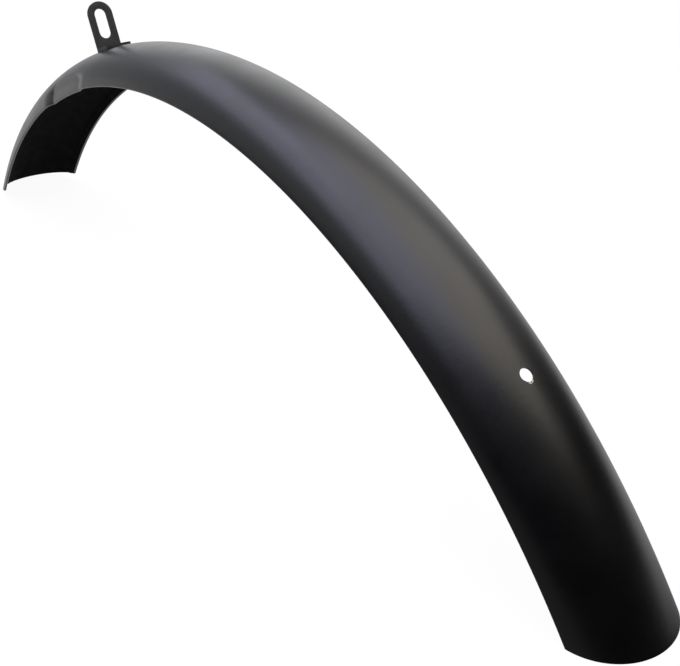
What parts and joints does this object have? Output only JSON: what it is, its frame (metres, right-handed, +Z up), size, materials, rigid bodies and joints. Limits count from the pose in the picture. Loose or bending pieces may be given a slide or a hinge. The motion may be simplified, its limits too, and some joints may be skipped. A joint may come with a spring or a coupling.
{
  "type": "bicycle mudguard",
  "caption": "Curved steel mudguard for a bicycle's front wheel, satin black, with an upright slotted fork bracket on its crown, side presses for the fork and a stay hole.",
  "frame": {"origin": "middle of the floor under the arch, with the blade standing on its two ends", "axes": "+X along the blade towards the rear end with the stay hole, +Y across it, +Z up to the crown"},
  "size_m": [0.598, 0.055, 0.1581],
  "materials": {
    "blade_paint": "satin",
    "bracket_paint": "satin"
  },
  "bodies": {
    "root": {"blade": "blade_paint", "fork_bracket": "bracket_paint"}
  },
  "joints": []
}
